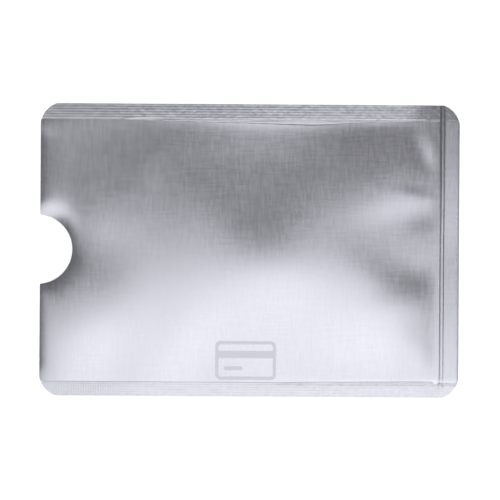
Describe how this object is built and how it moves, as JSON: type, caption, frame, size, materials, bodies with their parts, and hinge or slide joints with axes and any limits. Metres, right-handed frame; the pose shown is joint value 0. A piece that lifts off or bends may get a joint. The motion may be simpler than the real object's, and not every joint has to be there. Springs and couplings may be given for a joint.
{
  "type": "credit card holder",
  "caption": "Flat foil-laminate sleeve that shields one payment card, heat-sealed along both long sides and one end, with an open mouth and a half-round thumb notch.",
  "frame": {"origin": "on the surface the sleeve lies on, under the middle of its outline", "axes": "+X runs from the open mouth to the sealed end, +Y across to the upper long seal as pictured, +Z from the back panel to the front panel"},
  "size_m": [0.091, 0.0636, 0.0015],
  "materials": {
    "outer_film": "satin, aluminium-metallised film with fine streaks across the sleeve",
    "shield_foil": "bright rolled foil",
    "seal_lining": "milky heat-seal film over foil",
    "fused_lining": "fused heat-seal film, seen only at the cut edges"
  },
  "bodies": {
    "root": {"front_film": "outer_film", "front_foil": "shield_foil", "front_lining": "seal_lining", "back_film": "outer_film", "back_foil": "shield_foil", "back_lining": "seal_lining", "upper_long_seal": "fused_lining", "lower_long_seal": "fused_lining", "end_seal": "fused_lining"}
  },
  "joints": []
}
